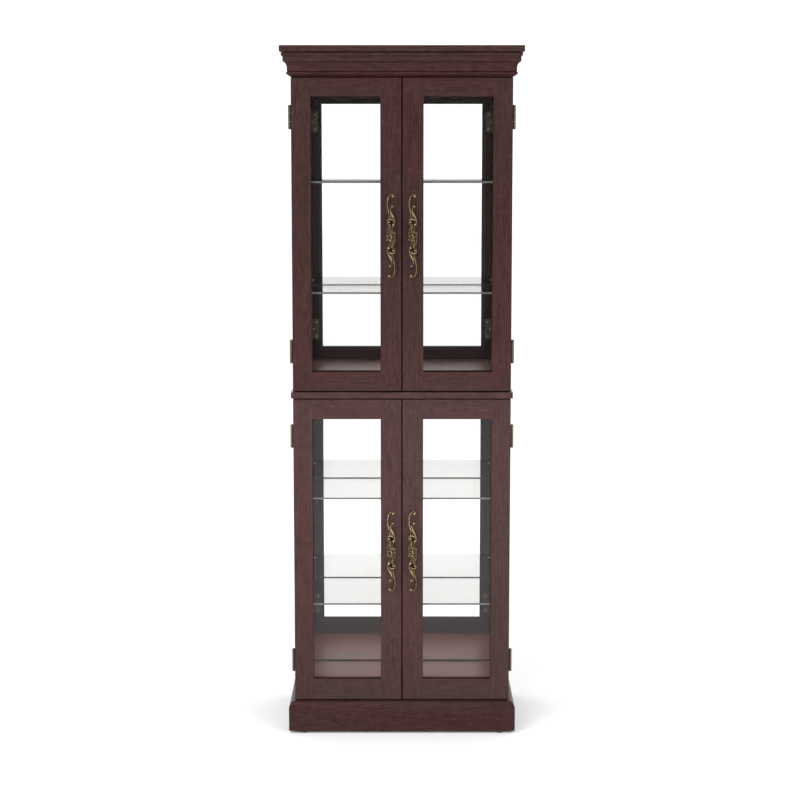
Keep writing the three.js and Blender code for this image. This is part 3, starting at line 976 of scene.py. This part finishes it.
def add_half_handle(bm):
    """The upper half of the scroll, in mm from the handle's centre; its points are placed one by one."""
    # hooked tip and the stem's outer rim
    add_tube(bm, [(4.4, 100.8, 1.0, 1.4), (6.8, 101.6, 0.6, 1.2), (7.2, 104.2, 0.3, 1.2),
                  (3.8, 106.2, 0, 1.4), (-1.4, 105, 0, 1.5), (-5.8, 101, 0, 1.5), (-8.2, 95, 0, 1.6),
                  (-9.4, 88, 0, 1.6), (-9.4, 80, 0, 1.5), (-8.6, 72, 0.2, 1.4), (-7, 65, 0.4, 1.4),
                  (-5.4, 58, 0.4, 1.3)])
    add_ball(bm, 4.2, 101.4, 1.4, 2.3)
    # the stem's hollow inner side
    add_tube(bm, [(-1.8, 102, -1.2, 1.0), (-4.4, 97, -1.2, 1.3), (-6, 89, -1.2, 1.5), (-6.4, 81, -1.2, 1.4),
                  (-5.8, 73, -1.0, 1.2), (-4.8, 66, -0.5, 1.1)])
    # leaf bud on its stalk, which runs on as the body's right rim
    add_ball(bm, 3.2, 76.8, 0.8, 2.0)
    add_tube(bm, [(3.4, 77, 0.3, 1.3), (5.4, 73.4, 0, 1.1), (5.9, 70.2, -0.3, 0.8)])
    add_tube(bm, [(3.2, 76.6, 0.4, 1.3), (0.4, 73.4, 0.2, 1.1), (-2, 69.2, 0.2, 1.2), (-1.4, 64, 0.4, 1.4),
                  (1, 58.4, 0.6, 1.5), (3.9, 53, 0.6, 1.5), (6.6, 47.4, 0.4, 1.5), (8.4, 41.4, 0.2, 1.5),
                  (9, 35.4, 0, 1.5), (7.8, 30, 0, 1.7), (5, 25.6, 0, 1.4), (3.2, 20, 0, 1.0)])
    # ribs of the body over a recessed web, which the brass paints dark as painted shade
    add_tube(bm, [(-3, 64, -2.2, 1.8), (-1.4, 55, -2.8, 3.2), (0.8, 48, -3.0, 4.2), (1, 43.4, -2.8, 4.0)],
             flatten=0.4)
    add_tube(bm, [(-5, 61, 0, 1.1), (-5, 55, 0.2, 1.2), (-4.8, 49, 0.2, 1.2), (-4.4, 43.6, 0.2, 1.2)])
    add_tube(bm, [(-2.8, 62, 0.2, 0.9), (-1.6, 55, 0.5, 1.0), (-0.6, 48.6, 0.5, 1.0), (0, 43.4, 0.3, 1.0)])
    add_tube(bm, [(0.2, 57, 0.3, 0.8), (2.4, 50.6, 0.5, 0.9), (3.8, 44.6, 0.3, 0.9), (4.4, 40.4, 0.1, 0.9)])
    # arch, ball and curl round the eye
    add_tube(bm, [(-9, 39.4, 0.2, 1.4), (-6.8, 42.8, 0.4, 1.5), (-2, 43.4, 0.6, 1.6), (2.4, 42, 0.5, 1.5),
                  (5.6, 38.8, 0.2, 1.3)])
    add_ball(bm, -5.4, 36.2, 1.0, 2.1)
    # a recessed web behind the eye, a dark sheet that stands in for the shade there
    add_tube(bm, [(0, 44, -3.6, 4.0), (0, 37, -3.8, 5.0), (0.6, 30, -3.6, 4.0)], flatten=0.2)
    add_tube(bm, [(-9, 39.4, 0.2, 1.3), (-9.6, 35, 0, 1.4), (-7.6, 31.2, 0, 1.4), (-3.8, 30.2, 0, 1.5),
                  (-1.4, 28.2, 0.2, 1.5)])
    add_ball(bm, 5.4, 30.4, 0.8, 2.1)
    # stem below the eye, down to the middle
    add_tube(bm, [(-1.4, 29, 0.4, 1.5), (-2.6, 24.6, 0.3, 1.3), (-2.4, 19, 0.1, 1.1),
                  (-1.4, 13, 0, 1.0), (-0.6, 7.4, 0.2, 1.3), (0, 0, 0.6, 1.6)])
    add_tube(bm, [(-6.2, 30.6, -0.4, 1.2), (-5.8, 25, -0.4, 1.1), (-4.4, 20, -0.2, 1.0), (-2.2, 15, 0, 1.0)])
    # recessed ground of the oval, a sheet that the brass paints dark as shade behind the lattice, then one
    # of its sides, the lattice and the beads
    add_tube(bm, [(-1, 27, -2.6, 3.0), (-1.4, 16, -2.2, 6.4), (-0.8, 6, -2.2, 8.6), (0, 0, -2.2, 9.0)],
             flatten=0.18)
    add_tube(bm, [(-5.6, 25, 0, 1.0), (-8, 19, 0.1, 1.1), (-9.9, 12, 0.2, 1.1), (-10.3, 5, 0.2, 1.1),
                  (-9.3, -2, 0.2, 1.1), (-7, -8.6, 0.2, 1.1), (-4.4, -14, 0.1, 1.0), (-2.8, -20, 0, 1.0)])
    for rows in (
        [(-1.6, 15, 0.2, 0.8), (-5, 11.6, 0.2, 0.8), (-9.4, 10.4, 0.1, 0.8)],
        [(-0.6, 3, 0.4, 0.8), (-5, 1.4, 0.2, 0.8), (-9.8, 2.4, 0.1, 0.8)],
        [(-2.6, 19, 0.1, 0.7), (-6.2, 16, 0.2, 0.8), (-9, 15.2, 0.1, 0.7)],
        [(-1, 7, 0.3, 0.8), (-4, 13, 0.3, 0.7), (-7.4, 19, 0.1, 0.7)],
        [(-1, 7.4, 0.3, 0.7), (-4.6, 4.4, 0.3, 0.7), (-8.6, -3.6, 0.1, 0.7)],
        [(-2.2, 18, 0.2, 0.8), (0.8, 15.6, 0.3, 0.9), (4.2, 15, 0.1, 0.8)],
        [(-1, 12, 0.2, 0.7), (2.2, 8.8, 0.3, 0.8), (6, 7.6, 0.1, 0.7)],
    ):
        add_tube(bm, rows)
    for x, z, radius in ((-3.6, 10.4, 1.1), (-7.2, 7.8, 1.2), (-3.4, 2.6, 1.1), (-7.2, 2, 1.1),
                         (-5, 15, 1.1), (-5.6, -2.6, 1.1), (-3.4, -6.4, 1.2), (-5.4, 21, 1.0),
                         (-2.4, 22.4, 1.2), (0.8, 19.6, 1.2), (1.6, 12, 1.3), (3.8, 10.4, 1.1),
                         (0.6, 24, 1.1)):
        add_ball(bm, x, z, 0.7, radius)
    add_ball(bm, 10.3, 9.2, 0.4, 1.5)
    add_tube(bm, [(10, 9, 0, 1.0), (9.6, 4, 0, 1.0)])


RELIEF_LOW = 2.0
RELIEF_SPAN = 4.4
POST_X, POST_Z = 3 * MM, 47 * MM
# a post and its rosette: (radius, distance from the door) in mm
POST_PROFILE = ((0, 0.2), (4.6, 0.2), (4.6, 1.4), (3.8, 2.4), (2.8, 4.2), (2.6, 12), (3.0, 17), (0, 17))


def cast_handle_mesh():
    """One casting: the half scroll, the same turned half a turn, and two posts with rosettes."""
    bm = bmesh.new()
    add_half_handle(bm)
    half = bmesh.ops.duplicate(bm, geom=bm.verts[:] + bm.edges[:] + bm.faces[:])
    turned = [e for e in half["geom"] if isinstance(e, bmesh.types.BMVert)]
    bmesh.ops.rotate(bm, verts=turned, cent=(0, 0, 0), matrix=Matrix.Rotation(math.pi, 3, "Y"))
    post = [(radius * MM, height * MM) for radius, height in POST_PROFILE]
    for sign in (1, -1):
        add_lathe(bm, post, (sign * POST_X, 0.0, sign * POST_Z), (0, -1, 0), 20)
    bmesh.ops.recalc_face_normals(bm, faces=bm.faces)
    holder = link_object("handle_casting", to_mesh(bm, "handle_casting_rough"))
    remesh = holder.modifiers.new("cast", "REMESH")
    remesh.mode = "VOXEL"
    remesh.voxel_size = 0.5 * MM
    smooth = holder.modifiers.new("fettled", "SMOOTH")
    smooth.factor = 0.4
    smooth.iterations = 2
    cast = baked_mesh(holder)
    bpy.data.objects.remove(holder)
    shade_smooth(cast)
    # how far each point stands forward, which the brass turns into painted highlight and painted shade
    relief = cast.attributes.new(RELIEF, "FLOAT", "POINT")
    for vertex, value in zip(cast.vertices, relief.data):
        lift = -vertex.co.y / MM - handle_depth(vertex.co.z / MM)
        value.value = min(1.0, max(0.0, (lift + RELIEF_LOW) / RELIEF_SPAN))
    return cast


def build_handles():
    cast = cast_handle_mesh()
    for section in SECTIONS:
        for name, _ in SIDES:
            label = f"{section}_{name}"
            low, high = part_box(f"{label}_handle")
            centre = (low + high) / 2
            mesh = cast.copy()
            mesh.transform(Matrix.Translation((centre.x, DOOR_FRONT, centre.z)))
            mesh.materials.clear()
            mesh.materials.append(BRASS)
            piece = link_object(f"{label}_scroll_handle", mesh)
            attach(piece, f"{label}_door")
            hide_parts(f"{label}_handle")


# ---------------------------------------------------------------- small hardware

def add_strike_plate(section, name, side):
    """A thin steel plate on the back of a door, opposite its half of the magnetic catch."""
    catch_low, catch_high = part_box(f"{section}_magnetic_catch")
    z = (catch_low.z + catch_high.z) / 2
    inset, wide, tall, thick, sunk = 3 * MM, 20 * MM, 12 * MM, 1.2 * MM, 0.1 * MM
    x0, x1 = sorted((side * (CENTRE_EDGE + inset), side * (CENTRE_EDGE + inset + wide)))
    label, body = f"{section}_{name}_strike", f"{section}_{name}_door"

    def plate(bm):
        add_box(bm, (x0, DOOR_BACK, z - tall / 2), (x1, DOOR_BACK + thick, z + tall / 2))
    soften(new_object(f"{label}_plate", plate, STEEL, body), 0.4 * MM, 2)

    def screw(bm):
        add_screw(bm, ((x0 + x1) / 2, DOOR_BACK + thick - sunk, z), (0, 1, 0), 2.6 * MM)
    smooth_by_angle(new_object(f"{label}_screw", screw, STEEL, body), 40)


def add_back_screws(section):
    """Small screws round the edge of a back panel."""
    low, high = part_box(f"{section}_back_panel")
    inset, head = 9 * MM, 2.4 * MM
    rows, columns = 7, 5
    sides_x, ends_z = (low.x + inset, high.x - inset), (low.z + inset, high.z - inset)

    def screws(bm):
        for i in range(rows):
            z = ends_z[0] + (high.z - low.z - 2 * inset) * i / (rows - 1)
            for x in sides_x:
                add_screw(bm, (x, high.y, z), (0, 1, 0), head)
        for i in range(1, columns - 1):
            x = sides_x[0] + (high.x - low.x - 2 * inset) * i / (columns - 1)
            for z in ends_z:
                add_screw(bm, (x, high.y, z), (0, 1, 0), head)
    smooth_by_angle(new_object(f"{section}_back_screws", screws, STEEL, CASE), 40)


# ---------------------------------------------------------------- stage, light and camera

def set_stage():
    bm = bmesh.new()
    bmesh.ops.create_grid(bm, x_segments=1, y_segments=1, size=30)
    g = Graph("pale_floor")
    shader = g.principled()
    shader.inputs["Base Color"].default_value = grey(0.92)
    shader.inputs["Roughness"].default_value = 0.9
    shader.inputs["Specular IOR Level"].default_value = 0.1
    floor = link_object("floor", to_mesh(bm, "floor"))
    floor.data.materials.append(g.finish(shader))


def add_softbox(name, location, target, size, power, spread=180):
    data = bpy.data.lights.new(name, "AREA")
    data.shape = "RECTANGLE"
    data.size, data.size_y = size
    data.energy = power
    data.spread = math.radians(spread)
    lamp = link_object(name, data)
    lamp.location = location
    aim = Vector(target) - Vector(location)
    lamp.rotation_mode = "QUATERNION"
    lamp.rotation_quaternion = aim.to_track_quat("-Z", "Y")


def set_light():
    """A white studio, a key and a fill, and two small low lamps for the lower floor panel."""
    world = bpy.data.worlds.new("studio")
    world.use_nodes = True
    background = world.node_tree.nodes["Background"]
    background.inputs["Color"].default_value = grey(1)
    background.inputs["Strength"].default_value = 1.15
    bpy.context.scene.world = world
    add_softbox("key_softbox", (-1.6, -2.6, 2.9), (0, 0, 1.0), size=(1.6, 1.6), power=45)
    add_softbox("fill_softbox", (2.2, -2.4, 2.2), (0, 0, 0.9), size=(1.4, 1.8), power=22)
    for name, side in SIDES:
        add_softbox(f"low_softbox_{name}", (side * 1.2, -1.7, 0.75), (0, 0, 0.62),
                    size=(0.5, 0.5), power=0.9, spread=40)


CAMERA_DISTANCE = 4.368
CAMERA_HEIGHT = 1.519
CAMERA_TILT = 6.823


def set_camera():
    data = bpy.data.cameras.new("camera")
    data.sensor_width = 36
    data.lens = 76.28
    data.shift_x = -0.0024
    data.shift_y = -0.05
    camera = link_object("camera", data)
    camera.location = (0, DOOR_FRONT - CAMERA_DISTANCE, CAMERA_HEIGHT)
    camera.rotation_euler = (math.radians(90 - CAMERA_TILT), 0, 0)
    bpy.context.scene.camera = camera


def set_render():
    scene = bpy.context.scene
    scene.view_settings.view_transform = "Standard"
    scene.cycles.transparent_max_bounces = 32
    scene.cycles.max_bounces = 16
    scene.cycles.glossy_bounces = 8


# ---------------------------------------------------------------- assembly

set_camera()
set_light()
set_stage()
set_render()
dress_case()
build_cornice()
build_plinth()
for section in SECTIONS:
    add_shelf_pins(section)
    add_back_screws(section)
    add_mirror_bead(section)
    for name, side in SIDES:
        build_door(section, name, side)
        build_side(section, name, side)
        add_strike_plate(section, name, side)
        for level in ("bottom", "top"):
            build_hinge(f"{section}_{name}_{level}_hinge", side, f"{section}_{name}_door")
build_handles()
